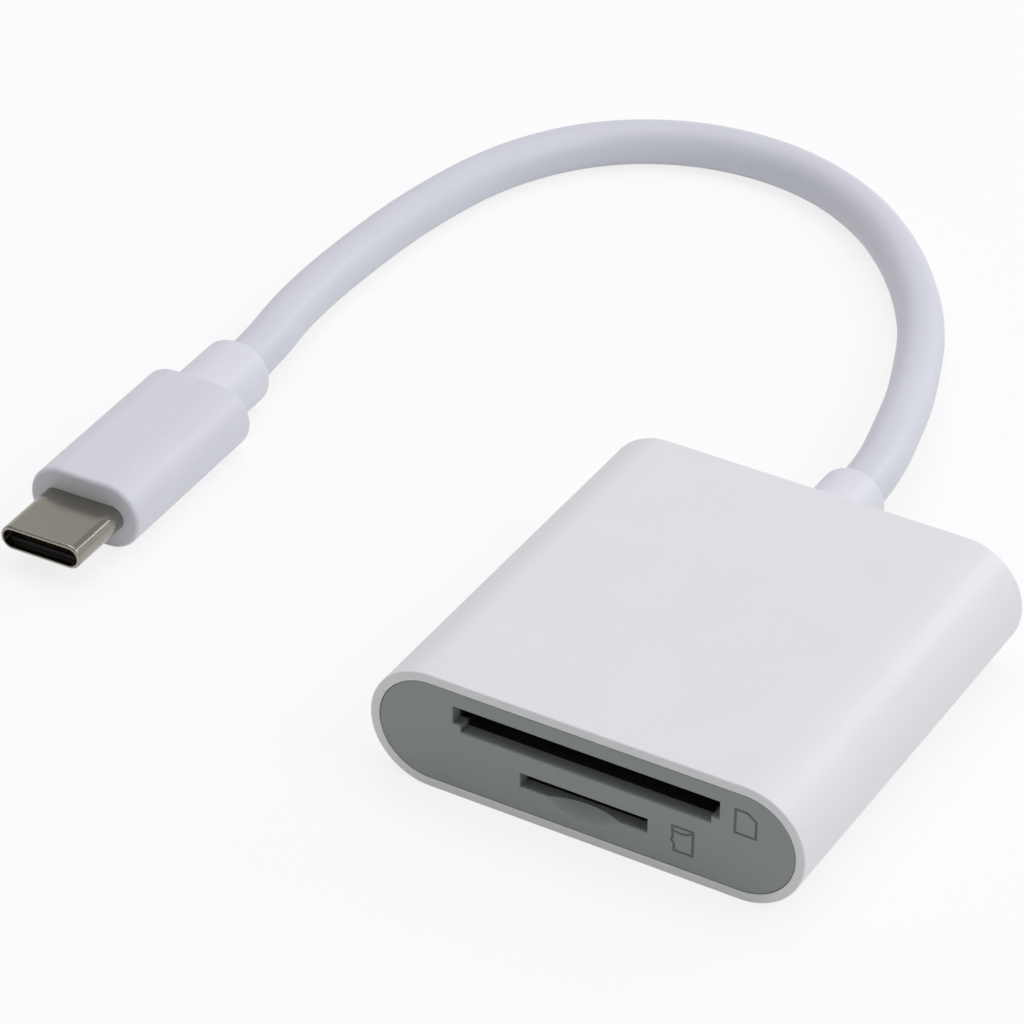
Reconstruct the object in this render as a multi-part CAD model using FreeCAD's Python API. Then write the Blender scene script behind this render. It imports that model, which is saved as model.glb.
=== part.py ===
import FreeCAD, Part
import math
import os

# Card reader on a captive USB-C lead, in millimetres.
# The slots face -Y, +Z is up, and the origin is under the middle of the housing.

# Housing sleeve: a flat tube with full-round sides, closed at the back
HOUSING_WIDTH = 40.2
HOUSING_DEPTH = 40.8
HOUSING_HEIGHT = 11.3
WALL = 1.3
REAR_WALL = 1.6
FRONT_EDGE_ROUND = 0.15
REAR_EDGE_ROUND = 0.3

# Front bezel: the grey plate set into the mouth of the sleeve
FRONT_LIP = 0.85
BEZEL_THICKNESS = 1.3
BEZEL_RECESS = 0.08
BEZEL_GAP = 0.04
BEZEL_EDGE_ROUND = 0.06
SKIRT_DEPTH = 3.0
SKIRT_WALL = 0.9
SKIRT_GAP = 0.08
SKIRT_CLEAR = 0.4
LUG_HEIGHT = 3.0
LUG_ROOT = 0.5
LUG_REACH = 0.3
LUG_CATCH = 0.9
LUG_FLAT = 0.5
LUG_TAIL = 0.4
POCKET_GAP = 0.05

# Card slots, from the standard card sizes
SD_CARD_WIDTH = 24.0
SD_SLOT_SIDE_GAP = 0.3
SD_SLOT_HEIGHT = 2.35
SD_SLOT_EDGE_HEIGHT = 1.7
SD_STEP = 0.73
SD_ROOF_SPACE = 1.1
SD_SLOT_ABOVE_BOARD = 0.6
MICROSD_CARD_WIDTH = 11.0
MICROSD_SLOT_SIDE_GAP = 0.4
MICROSD_SLOT_HEIGHT = 1.35
MICROSD_SLOT_BELOW_BOARD = 0.55
SLOT_FLARE = 0.08
SCOOP_RADIUS = 5.8
SCOOP_BELOW_SLOT = 1.15
SCOOP_DEPTH = 0.85

# Circuit board and its guide rails
BOARD_WIDTH = 34.0
BOARD_THICKNESS = 0.8
BOARD_CORNER = 0.5
BOARD_TO_RELIEF = 2.3
RAIL_GAP = 0.1
RAIL_HEIGHT = 0.9
RAIL_BITE = 1.0
RAIL_STOP = 1.0
RAIL_SET_BACK = 0.5

# SD socket
SOCKET_GAP = 0.1
SHEET = 0.15
CAVITY_PLAY = 0.05
SD_SIDE_PLAY = 0.15
SD_SOCKET_SIDE = 1.45
SD_SOCKET_BACK = 3.0
SD_CONTACT_COUNT = 9
SD_CONTACT_PITCH = 2.5
SD_CONTACT_WIDTH = 0.8
SD_CONTACT_FOOT = 1.4
SD_CONTACT_STAND = 0.13
SD_BEAM_ROOT = 3.4
SD_BEAM_REACH = 7.0
SD_BEAM_CURL = 0.8
SD_BEAM_DIP = 0.7
SD_BEAM_LIFT = 0.4
SD_GROOVE_LENGTH = 9.0
SD_GROOVE_SHARE = 0.64
GROOVE_GAP = 0.1
SD_WINDOW_WIDTH = 16.0
SD_WINDOW_FRONT = 6.0
SD_WINDOW_BACK = 4.0
COVER_WINDOW_WIDTH = 12.0
COVER_WINDOW_LENGTH = 6.0
COVER_SHORT = 0.5

# microSD socket
MICROSD_SIDE_PLAY = 0.25
MICROSD_SOCKET_DEPTH = 14.2
MICROSD_SOCKET_SIDE = 1.15
MICROSD_SOCKET_BACK = 1.2
MICROSD_CONTACT_COUNT = 8
MICROSD_CONTACT_PITCH = 1.1
MICROSD_CONTACT_WIDTH = 0.5
MICROSD_CONTACT_SHEET = 0.12
MICROSD_CONTACT_FOOT = 1.2
MICROSD_BEAM_ROOT = 1.6
MICROSD_BEAM_REACH = 4.2
MICROSD_BEAM_CURL = 0.8
MICROSD_BEAM_DIP = 0.35
MICROSD_GROOVE_LENGTH = 6.5

# Chips and small parts under the board
CHIP_SIZE = 6.0
CHIP_HEIGHT = 0.85
CRYSTAL_LENGTH = 3.2
CRYSTAL_WIDTH = 2.5
CRYSTAL_HEIGHT = 0.7
REGULATOR_LENGTH = 2.9
REGULATOR_WIDTH = 1.6
REGULATOR_HEIGHT = 1.1
BESIDE_CHIP = 4.6
SMALL_COUNT = 6
SMALL_PITCH = 2.2
SMALL_GAP = 0.9
SMALL_LENGTH = 1.0
SMALL_WIDTH = 0.5
CAPACITOR_HEIGHT = 0.5
RESISTOR_HEIGHT = 0.35

# Lead: strain relief, wires and the cable
RELIEF_DIAMETER = 6.3
RELIEF_LENGTH = 8.1
RELIEF_NECK = 5.6
RELIEF_FLANGE = 7.0
RELIEF_FLANGE_LENGTH = 1.2
RELIEF_END_ROUND = 0.6
CABLE_DIAMETER = 4.5
CABLE_SIDES = 16
CABLE_LEAD = 6.4
BEND_SHARE = 0.45
WIRE_DIAMETER = 0.9
WIRE_PITCH = 1.4
WIRE_ON_BOARD = 2.2
WIRE_PAD_SPACE = 5.25

# USB-C plug, lying flat on the floor beside the housing
PLUG_TIP_X = -58.83
PLUG_TIP_Y = -12.4
PLUG_TURN = 1.6
PLUG_SHELL_WIDTH = 8.25
PLUG_SHELL_HEIGHT = 2.4
PLUG_SHELL_WALL = 0.3
PLUG_SHELL_OUT = 7.1
PLUG_SHELL_IN = 3.9
PLUG_SHELL_ROUND = 0.2
PLUG_SHELL_GAP = 0.05
PLUG_WIDTH = 11.3
PLUG_HEIGHT = 6.6
PLUG_LENGTH = 19.2
PLUG_FRONT_ROUND = 0.4
PLUG_REAR_ROUND = 0.35
PLUG_WALL = 1.0
PLUG_FRONT_WALL = 1.25
PLUG_CORE_LENGTH = 12.1
PLUG_RELIEF_WIDTH = 7.0
PLUG_RELIEF_LENGTH = 7.35
PLUG_RELIEF_NECK = 5.2
PLUG_RELIEF_END_ROUND = 0.8
PLUG_LEAD = 6.2

# Inside of the plug
TONGUE_GAP = 0.8
TONGUE_DEPTH = 5.4
TONGUE_SIDE = 0.65
INSULATOR_SET_BACK = 1.0
INSULATOR_GAP = 0.02
PLUG_CONTACT_COUNT = 12
PLUG_CONTACT_PITCH = 0.5
PLUG_CONTACT_WIDTH = 0.25
PLUG_CONTACT_SHEET = 0.12
PLUG_CONTACT_FRONT = 1.6
PLUG_CONTACT_FOOT = 1.75
LATCH_SHEET = 0.2
LATCH_GAP = 0.02
LATCH_HEIGHT = 0.6
LATCH_FRONT = 1.8
LATCH_HOOK = 0.15
LATCH_HOOK_LENGTH = 0.7
PLUG_BOARD_WIDTH = 8.8
PLUG_BOARD_LENGTH = 6.1

# Levels and stations that follow from the sizes above
MID = HOUSING_HEIGHT / 2
FRONT = -HOUSING_DEPTH / 2
REAR = HOUSING_DEPTH / 2
BORE_WIDTH = HOUSING_WIDTH - 2 * WALL
BORE_HEIGHT = HOUSING_HEIGHT - 2 * WALL
BORE_TOP = HOUSING_HEIGHT - WALL
BORE_END = REAR - REAR_WALL
BEZEL_FRONT = FRONT + BEZEL_RECESS
BEZEL_BACK = BEZEL_FRONT + BEZEL_THICKNESS
SOCKET_FRONT = BEZEL_BACK + SOCKET_GAP
SD_SLOT_TOP = BORE_TOP - SD_ROOF_SPACE
SD_SLOT_STEP = SD_SLOT_TOP - SD_SLOT_EDGE_HEIGHT
SD_SLOT_BOTTOM = SD_SLOT_TOP - SD_SLOT_HEIGHT
SD_SLOT_HALF = SD_CARD_WIDTH / 2 + SD_SLOT_SIDE_GAP
BOARD_TOP = SD_SLOT_BOTTOM - SD_SLOT_ABOVE_BOARD
BOARD_BOTTOM = BOARD_TOP - BOARD_THICKNESS
MICROSD_SLOT_TOP = BOARD_BOTTOM - MICROSD_SLOT_BELOW_BOARD
MICROSD_SLOT_BOTTOM = MICROSD_SLOT_TOP - MICROSD_SLOT_HEIGHT
MICROSD_SLOT_HALF = MICROSD_CARD_WIDTH / 2 + MICROSD_SLOT_SIDE_GAP
RELIEF_END = REAR + RELIEF_LENGTH
RELIEF_INNER = BORE_END - RELIEF_FLANGE_LENGTH
BOARD_END = RELIEF_INNER - BOARD_TO_RELIEF
CABLE_RADIUS = CABLE_DIAMETER / 2


def block(x0, x1, y0, y1, z0, z1):
    """A box between two corners."""
    corner = FreeCAD.Vector(min(x0, x1), min(y0, y1), min(z0, z1))
    return Part.makeBox(abs(x1 - x0), abs(y1 - y0), abs(z1 - z0), corner)


def capsule(width, height, y0, y1, z_mid):
    """A prism along Y with flat top and bottom and full-round sides."""
    half = (width - height) / 2
    side = width / 2
    rise = height / 2
    top_left = FreeCAD.Vector(-half, y0, z_mid + rise)
    top_right = FreeCAD.Vector(half, y0, z_mid + rise)
    low_left = FreeCAD.Vector(-half, y0, z_mid - rise)
    low_right = FreeCAD.Vector(half, y0, z_mid - rise)
    right = FreeCAD.Vector(side, y0, z_mid)
    left = FreeCAD.Vector(-side, y0, z_mid)
    edges = [
        Part.makeLine(top_left, top_right),
        Part.Arc(top_right, right, low_right).toShape(),
        Part.makeLine(low_right, low_left),
        Part.Arc(low_left, left, top_left).toShape(),
    ]
    return Part.Face(Part.Wire(edges)).extrude(FreeCAD.Vector(0, y1 - y0, 0))


def edges_at(shape, y):
    """The edges that lie in one plane across Y."""
    found = []
    for edge in shape.Edges:
        places = [vertex.Y for vertex in edge.Vertexes]
        places.append(edge.CenterOfMass.y)
        if all(abs(place - y) < 1e-4 for place in places):
            found.append(edge)
    return found


def soften_end(shape, y, radius, inward):
    """Round the edges of an end with three narrow bands that touch an arc of that radius."""
    band = radius * (2 - math.sqrt(2))
    corner = radius * (math.tan(math.pi / 8) - math.tan(math.pi / 16))
    shape = shape.makeChamfer(band, edges_at(shape, y))
    return shape.makeChamfer(corner, edges_at(shape, y) + edges_at(shape, y + inward * band))


def spindle(profile, z_mid):
    """A turned solid about an axis along Y, from (radius, y) points."""
    points = [FreeCAD.Vector(radius, y, z_mid) for radius, y in profile]
    face = Part.Face(Part.makePolygon(points + points[:1]))
    return face.revolve(FreeCAD.Vector(0, 0, z_mid), FreeCAD.Vector(0, 1, 0), 360)


def bent_strip(path, sheet, x_mid, width):
    """A strip of sheet metal bent in the YZ plane along (y, z) points."""
    normals = []
    for (y0, z0), (y1, z1) in zip(path[:-1], path[1:]):
        run = math.hypot(y1 - y0, z1 - z0)
        normals.append(((z0 - z1) / run, (y1 - y0) / run))
    joins = [normals[0]]
    for first, second in zip(normals[:-1], normals[1:]):
        share = 1 + first[0] * second[0] + first[1] * second[1]
        joins.append(((first[0] + second[0]) / share, (first[1] + second[1]) / share))
    joins.append(normals[-1])
    outline = []
    for (y, z), (ny, nz) in zip(path, joins):
        outline.append((y + ny * sheet / 2, z + nz * sheet / 2))
    for (y, z), (ny, nz) in zip(reversed(path), reversed(joins)):
        outline.append((y - ny * sheet / 2, z - nz * sheet / 2))
    points = [FreeCAD.Vector(x_mid - width / 2, y, z) for y, z in outline]
    face = Part.Face(Part.makePolygon(points + points[:1]))
    return face.extrude(FreeCAD.Vector(width, 0, 0))


def cord(route, diameter, sides):
    """A cord of straight runs and tangent arcs, starting along +Y, with narrow flats round it."""
    points = [FreeCAD.Vector(*point) for point in route]
    edges = []
    radii = []
    start = points[0]
    for before, corner, after in zip(points[:-2], points[1:-1], points[2:]):
        come = corner - before
        go = after - corner
        reach = BEND_SHARE * min(come.Length, go.Length)
        half_turn = come.getAngle(go) / 2
        radius = reach / math.tan(half_turn)
        come.normalize()
        go.normalize()
        arc_start = corner - come * reach
        arc_end = corner + go * reach
        inward = go - come
        inward.normalize()
        arc_middle = corner + inward * (radius / math.cos(half_turn) - radius)
        edges.append(Part.makeLine(start, arc_start))
        edges.append(Part.Arc(arc_start, arc_middle, arc_end).toShape())
        start = arc_end
        radii.append(round(radius, 1))
    edges.append(Part.makeLine(start, points[-1]))
    path = Part.Wire(edges)
    spoke = diameter / 2
    ring = []
    for index in range(sides):
        angle = 2 * math.pi * (index + 0.5) / sides
        ring.append(points[0] + FreeCAD.Vector(spoke * math.sin(angle), 0, spoke * math.cos(angle)))
    print("cord length", round(path.Length, 1), "bend radii", radii)
    return path.makePipeShell([Part.makePolygon(ring + ring[:1])], True, False)


def save(node, shapes):
    """Write one node; a group of equal pieces stays separate solids."""
    shape = shapes[0] if len(shapes) == 1 else Part.makeCompound(shapes)
    shape.exportStep("parts/" + node + ".step")
    print(node, "solids", len(shape.Solids), "volume", round(shape.Volume, 2), shape.isValid())


os.makedirs("parts", exist_ok=True)

# Housing sleeve: outer tube, bore, mouth for the bezel, hole for the strain relief
sleeve = capsule(HOUSING_WIDTH, HOUSING_HEIGHT, FRONT, REAR, MID)
sleeve = soften_end(sleeve, FRONT, FRONT_EDGE_ROUND, 1)
sleeve = soften_end(sleeve, REAR, REAR_EDGE_ROUND, -1)
bore = capsule(BORE_WIDTH, BORE_HEIGHT, FRONT, BORE_END, MID)
mouth = capsule(HOUSING_WIDTH - 2 * FRONT_LIP, HOUSING_HEIGHT - 2 * FRONT_LIP, FRONT, BEZEL_BACK, MID)
neck = RELIEF_NECK / 2
cable_hole = spindle([(0, BORE_END), (neck, BORE_END), (neck, REAR), (0, REAR)], MID)
sleeve = sleeve.cut([bore, mouth, cable_hole])

# Guide rails that hold the board's edges, with a stop behind the board,
# and a pocket on each side for the bezel's snap lug
skirt_end = BEZEL_BACK + SKIRT_DEPTH
rail_front = skirt_end + RAIL_SET_BACK
rail_end = BOARD_END + RAIL_STOP
rail_inner = BOARD_WIDTH / 2 - RAIL_BITE
rail_outer = HOUSING_WIDTH / 2 - WALL / 2
upper_rail = BOARD_TOP + RAIL_GAP
lower_rail = BOARD_BOTTOM - RAIL_GAP
lug_catch = BEZEL_BACK + LUG_CATCH
lug_back = skirt_end - LUG_TAIL
pocket_depth = BORE_WIDTH / 2 + LUG_REACH + POCKET_GAP
pocket_half = LUG_HEIGHT / 2 + 2 * POCKET_GAP
for side in (-1, 1):
    near = side * rail_inner
    far = side * rail_outer
    rails = [
        block(near, far, rail_front, rail_end, upper_rail, upper_rail + RAIL_HEIGHT),
        block(near, far, rail_front, rail_end, lower_rail - RAIL_HEIGHT, lower_rail),
        block(near, far, BOARD_END, rail_end, lower_rail, upper_rail),
    ]
    sleeve = sleeve.fuse(rails).removeSplitter()
    pocket = block(
        side * (BORE_WIDTH / 2 - WALL),
        side * pocket_depth,
        lug_catch - POCKET_GAP,
        lug_back + POCKET_GAP,
        MID - pocket_half,
        MID + pocket_half,
    )
    sleeve = sleeve.cut(pocket)
save("housing_sleeve", [sleeve])

# Front bezel: a plate with a skirt and a snap lug on each side
inset = FRONT_LIP + BEZEL_GAP
bezel = capsule(HOUSING_WIDTH - 2 * inset, HOUSING_HEIGHT - 2 * inset, BEZEL_FRONT, BEZEL_BACK, MID)
bezel = bezel.makeChamfer(BEZEL_EDGE_ROUND, edges_at(bezel, BEZEL_FRONT))
skirt_width = BORE_WIDTH - 2 * SKIRT_GAP
skirt_height = BORE_HEIGHT - 2 * SKIRT_GAP
skirt = capsule(skirt_width, skirt_height, BEZEL_BACK, skirt_end, MID)
hollow = capsule(skirt_width - 2 * SKIRT_WALL, skirt_height - 2 * SKIRT_WALL, BEZEL_BACK, skirt_end, MID)
sd_frame_half = SD_CARD_WIDTH / 2 + SD_SIDE_PLAY + SD_SOCKET_SIDE
skirt_open = sd_frame_half + SHEET + SKIRT_CLEAR
opening = block(-skirt_open, skirt_open, BEZEL_BACK, skirt_end, 0, HOUSING_HEIGHT)
bezel = bezel.fuse(skirt.cut([hollow, opening]))
lug_floor = MID - LUG_HEIGHT / 2
for side in (-1, 1):
    root = side * (skirt_width / 2 - LUG_ROOT)
    crest = side * (BORE_WIDTH / 2 + LUG_REACH - POCKET_GAP)
    lug_outline = [
        FreeCAD.Vector(root, lug_catch, lug_floor),
        FreeCAD.Vector(crest, lug_catch, lug_floor),
        FreeCAD.Vector(crest, lug_catch + LUG_FLAT, lug_floor),
        FreeCAD.Vector(root, lug_back, lug_floor),
        FreeCAD.Vector(root, lug_catch, lug_floor),
    ]
    lug = Part.Face(Part.makePolygon(lug_outline)).extrude(FreeCAD.Vector(0, 0, LUG_HEIGHT))
    bezel = bezel.fuse(lug)
bezel = bezel.removeSplitter()

# Both card slots with flared mouths, the SD one stepped for the card's thin edges,
# and the dished thumbnail scoop
sd_low_half = SD_SLOT_HALF - SD_STEP


def sd_outline(grow):
    """The stepped outline of the SD slot as (x, z) points, larger all round by the given length."""
    wide = SD_SLOT_HALF + grow
    low = sd_low_half + grow
    top = SD_SLOT_TOP + grow
    step = SD_SLOT_STEP - grow
    bottom = SD_SLOT_BOTTOM - grow
    right = [(wide, top), (wide, step), (low, step), (low, bottom)]
    left = [(-low, bottom), (-low, step), (-wide, step), (-wide, top)]
    return right + left


def microsd_outline(grow):
    """The outline of the microSD slot as (x, z) points, larger all round by the given length."""
    wide = MICROSD_SLOT_HALF + grow
    top = MICROSD_SLOT_TOP + grow
    bottom = MICROSD_SLOT_BOTTOM - grow
    return [(wide, top), (wide, bottom), (-wide, bottom), (-wide, top)]


slots = []
for outline in (sd_outline, microsd_outline):
    face = [FreeCAD.Vector(x, BEZEL_FRONT, z) for x, z in outline(SLOT_FLARE)]
    throat = [FreeCAD.Vector(x, BEZEL_FRONT + SLOT_FLARE, z) for x, z in outline(0)]
    mouth_wire = Part.makePolygon(face + face[:1])
    throat_wire = Part.makePolygon(throat + throat[:1])
    slots.append(Part.makeLoft([mouth_wire, throat_wire], True, True))
    slots.append(Part.Face(throat_wire).extrude(FreeCAD.Vector(0, BEZEL_THICKNESS - SLOT_FLARE, 0)))
bezel = bezel.cut(slots)
scoop_drop = SCOOP_RADIUS - SCOOP_BELOW_SLOT
scoop_mid = MICROSD_SLOT_BOTTOM + scoop_drop
scoop_stand = (SCOOP_RADIUS ** 2 - scoop_drop ** 2 - SCOOP_DEPTH ** 2) / (2 * SCOOP_DEPTH)
scoop_ball = math.hypot(SCOOP_RADIUS, scoop_stand)
scoop = Part.makeSphere(scoop_ball, FreeCAD.Vector(0, BEZEL_FRONT - scoop_stand, scoop_mid))
scoop_top = MICROSD_SLOT_BOTTOM + MICROSD_SLOT_HEIGHT / 4
scoop_zone = block(-SCOOP_RADIUS, SCOOP_RADIUS, FRONT - WALL, BEZEL_BACK, 0, scoop_top)
bezel = bezel.cut(scoop.common(scoop_zone))
save("front_bezel", [bezel])

# Circuit board between the rails, with clipped rear corners
board_half = BOARD_WIDTH / 2
board_outline = [
    FreeCAD.Vector(-board_half, SOCKET_FRONT, BOARD_BOTTOM),
    FreeCAD.Vector(board_half, SOCKET_FRONT, BOARD_BOTTOM),
    FreeCAD.Vector(board_half, BOARD_END - BOARD_CORNER, BOARD_BOTTOM),
    FreeCAD.Vector(board_half - BOARD_CORNER, BOARD_END, BOARD_BOTTOM),
    FreeCAD.Vector(BOARD_CORNER - board_half, BOARD_END, BOARD_BOTTOM),
    FreeCAD.Vector(-board_half, BOARD_END - BOARD_CORNER, BOARD_BOTTOM),
    FreeCAD.Vector(-board_half, SOCKET_FRONT, BOARD_BOTTOM),
]
board = Part.Face(Part.makePolygon(board_outline)).extrude(FreeCAD.Vector(0, 0, BOARD_THICKNESS))
save("circuit_board", [board])

# SD socket on top of the board: the card goes in label down,
# so the spring contacts hang from the roof of the frame
sd_end = BOARD_END - WIRE_PAD_SPACE
sd_roof = BORE_TOP - SOCKET_GAP - SHEET
sd_half = SD_CARD_WIDTH / 2 + SD_SIDE_PLAY
sd_low = sd_half - SD_STEP
sd_ceiling = SD_SLOT_TOP + CAVITY_PLAY
sd_floor = SD_SLOT_BOTTOM - CAVITY_PLAY
sd_stop = sd_end - SD_SOCKET_BACK
sd_window = SD_WINDOW_WIDTH / 2
window_front = SOCKET_FRONT + SD_WINDOW_FRONT
window_end = sd_stop - SD_WINDOW_BACK
groove_top = sd_ceiling + (sd_roof - sd_ceiling) * SD_GROOVE_SHARE
beam_level = (sd_ceiling + groove_top) / 2
sd_beam = [
    (sd_end + SD_CONTACT_FOOT, BOARD_TOP + SHEET / 2),
    (sd_end + SD_CONTACT_STAND, BOARD_TOP + SHEET / 2),
    (sd_end + SD_CONTACT_STAND, beam_level),
    (sd_end - SD_BEAM_ROOT, beam_level),
    (sd_end - SD_BEAM_REACH, sd_ceiling - SD_BEAM_DIP),
    (sd_end - SD_BEAM_REACH - SD_BEAM_CURL, sd_ceiling - SD_BEAM_DIP + SD_BEAM_LIFT),
]
sd_cuts = [
    block(-sd_half, sd_half, SOCKET_FRONT, sd_stop, SD_SLOT_STEP, sd_ceiling),
    block(-sd_low, sd_low, SOCKET_FRONT, sd_stop, sd_floor, SD_SLOT_STEP),
    block(-sd_window, sd_window, window_front, window_end, BOARD_TOP, sd_floor),
]
sd_contacts = []
groove_half = SD_CONTACT_WIDTH / 2 + GROOVE_GAP
for index in range(SD_CONTACT_COUNT):
    contact_x = (index - (SD_CONTACT_COUNT - 1) / 2) * SD_CONTACT_PITCH
    left = contact_x - groove_half
    right = contact_x + groove_half
    sd_cuts.append(block(left, right, sd_end - SD_GROOVE_LENGTH, sd_end, sd_ceiling, groove_top))
    sd_contacts.append(bent_strip(sd_beam, SHEET, contact_x, SD_CONTACT_WIDTH))
sd_frame = block(-sd_frame_half, sd_frame_half, SOCKET_FRONT, sd_end, BOARD_TOP, sd_roof)
save("sd_socket_frame", [sd_frame.cut(sd_cuts)])
save("sd_socket_contacts", sd_contacts)

# Steel cover folded over the SD socket, with an open window
sd_cover_half = sd_frame_half + SHEET
sd_cover_end = sd_end - COVER_SHORT
window_half = COVER_WINDOW_WIDTH / 2
window_back = window_front + COVER_WINDOW_LENGTH
sd_cover_top = sd_roof + SHEET
sd_cover = block(-sd_cover_half, sd_cover_half, SOCKET_FRONT, sd_cover_end, BOARD_TOP, sd_cover_top)
frame_room = block(-sd_frame_half, sd_frame_half, SOCKET_FRONT, sd_cover_end, BOARD_TOP, sd_roof)
cover_window = block(-window_half, window_half, window_front, window_back, sd_roof, sd_cover_top)
save("sd_socket_cover", [sd_cover.cut([frame_room, cover_window])])

# microSD socket under the board, its contacts against the board
microsd_end = SOCKET_FRONT + MICROSD_SOCKET_DEPTH
microsd_half = MICROSD_CARD_WIDTH / 2 + MICROSD_SIDE_PLAY
microsd_frame_half = microsd_half + MICROSD_SOCKET_SIDE
microsd_floor = MICROSD_SLOT_BOTTOM - CAVITY_PLAY
microsd_ceiling = MICROSD_SLOT_TOP - CAVITY_PLAY
microsd_stop = microsd_end - MICROSD_SOCKET_BACK
beam_level = BOARD_BOTTOM - MICROSD_CONTACT_SHEET / 2
microsd_beam = [
    (microsd_end + MICROSD_CONTACT_FOOT, beam_level),
    (microsd_end - MICROSD_BEAM_ROOT, beam_level),
    (microsd_end - MICROSD_BEAM_REACH, microsd_ceiling - MICROSD_BEAM_DIP),
    (microsd_end - MICROSD_BEAM_REACH - MICROSD_BEAM_CURL, microsd_ceiling),
]
microsd_cuts = [
    block(-microsd_half, microsd_half, SOCKET_FRONT, microsd_stop, microsd_floor, microsd_ceiling)
]
microsd_contacts = []
groove_half = MICROSD_CONTACT_WIDTH / 2 + GROOVE_GAP
groove_front = microsd_end - MICROSD_GROOVE_LENGTH
for index in range(MICROSD_CONTACT_COUNT):
    contact_x = (index - (MICROSD_CONTACT_COUNT - 1) / 2) * MICROSD_CONTACT_PITCH
    left = contact_x - groove_half
    right = contact_x + groove_half
    microsd_cuts.append(block(left, right, groove_front, microsd_end, microsd_ceiling, BOARD_BOTTOM))
    strip = bent_strip(microsd_beam, MICROSD_CONTACT_SHEET, contact_x, MICROSD_CONTACT_WIDTH)
    microsd_contacts.append(strip)
microsd_frame = block(
    -microsd_frame_half, microsd_frame_half, SOCKET_FRONT, microsd_end, microsd_floor, BOARD_BOTTOM
)
save("microsd_socket_frame", [microsd_frame.cut(microsd_cuts)])
save("microsd_socket_contacts", microsd_contacts)

# Steel cover that closes the microSD socket from below
cover_half = microsd_frame_half + SHEET
cover_end = microsd_end - COVER_SHORT
cover_floor = microsd_floor - SHEET
microsd_cover = block(-cover_half, cover_half, SOCKET_FRONT, cover_end, cover_floor, BOARD_BOTTOM)
microsd_cover = microsd_cover.cut(
    block(-microsd_frame_half, microsd_frame_half, SOCKET_FRONT, cover_end, microsd_floor, BOARD_BOTTOM)
)
save("microsd_socket_cover", [microsd_cover])


def under_board(x, y, length, width, height):
    """A surface-mounted part hanging under the board, by its middle."""
    x0 = x - length / 2
    y0 = y - width / 2
    return block(x0, x0 + length, y0, y0 + width, BOARD_BOTTOM - height, BOARD_BOTTOM)


# Chips and small parts on the underside of the board, between the microSD socket and the wires
chip_y = (microsd_end + MICROSD_CONTACT_FOOT + BOARD_END - WIRE_ON_BOARD) / 2
crystal_x = BESIDE_CHIP + CHIP_SIZE / 2
save("controller_chip", [under_board(0, chip_y, CHIP_SIZE, CHIP_SIZE, CHIP_HEIGHT)])
save("clock_crystal", [under_board(crystal_x, chip_y, CRYSTAL_LENGTH, CRYSTAL_WIDTH, CRYSTAL_HEIGHT)])
regulator = under_board(-crystal_x, chip_y, REGULATOR_LENGTH, REGULATOR_WIDTH, REGULATOR_HEIGHT)
save("voltage_regulator", [regulator])
row_offset = CHIP_SIZE / 2 + SMALL_GAP
capacitors = []
resistors = []
for index in range(SMALL_COUNT):
    small_x = (index - (SMALL_COUNT - 1) / 2) * SMALL_PITCH
    capacitors.append(under_board(small_x, chip_y + row_offset, SMALL_LENGTH, SMALL_WIDTH, CAPACITOR_HEIGHT))
    resistors.append(under_board(small_x, chip_y - row_offset, SMALL_LENGTH, SMALL_WIDTH, RESISTOR_HEIGHT))
save("capacitors", capacitors)
save("resistors", resistors)

# Rear strain relief: moulded onto the cable, with a groove that the rear wall sits in
flange = RELIEF_FLANGE / 2
boss = RELIEF_DIAMETER / 2
relief_profile = [
    (0, RELIEF_INNER),
    (flange, RELIEF_INNER),
    (flange, BORE_END),
    (neck, BORE_END),
    (neck, REAR),
    (boss, REAR),
    (boss, RELIEF_END),
    (0, RELIEF_END),
]
relief = soften_end(spindle(relief_profile, MID), RELIEF_END, RELIEF_END_ROUND, -1)
save("rear_strain_relief", [relief])

# Six wires from the strain relief to pads on both faces of the board
wire_length = BOARD_TO_RELIEF + WIRE_ON_BOARD
wire_radius = WIRE_DIAMETER / 2
wires = [
    ("power_wire", -WIRE_PITCH, BOARD_TOP + wire_radius),
    ("data_plus_wire", 0, BOARD_TOP + wire_radius),
    ("receive_pair_wire", WIRE_PITCH, BOARD_TOP + wire_radius),
    ("ground_wire", -WIRE_PITCH, BOARD_BOTTOM - wire_radius),
    ("data_minus_wire", 0, BOARD_BOTTOM - wire_radius),
    ("transmit_pair_wire", WIRE_PITCH, BOARD_BOTTOM - wire_radius),
]
for node, wire_x, wire_z in wires:
    wire_start = FreeCAD.Vector(wire_x, RELIEF_INNER, wire_z)
    save(node, [Part.makeCylinder(wire_radius, wire_length, wire_start, FreeCAD.Vector(0, -1, 0))])

# USB-C plug, built with its mouth at the origin facing -Y: first the drawn shell
shell_end = PLUG_SHELL_OUT + PLUG_SHELL_IN
plug_end = PLUG_SHELL_OUT + PLUG_LENGTH
core_front = PLUG_SHELL_OUT + PLUG_FRONT_WALL
core_end = core_front + PLUG_CORE_LENGTH
relief_end = plug_end + PLUG_RELIEF_LENGTH
bore_width = PLUG_SHELL_WIDTH - 2 * PLUG_SHELL_WALL
bore_height = PLUG_SHELL_HEIGHT - 2 * PLUG_SHELL_WALL
shell_solid = capsule(PLUG_SHELL_WIDTH, PLUG_SHELL_HEIGHT, 0, shell_end, 0)
plug_shell = soften_end(shell_solid, 0, PLUG_SHELL_ROUND, 1)
plug_shell = plug_shell.cut(capsule(bore_width, bore_height, 0, shell_end, 0))

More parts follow.
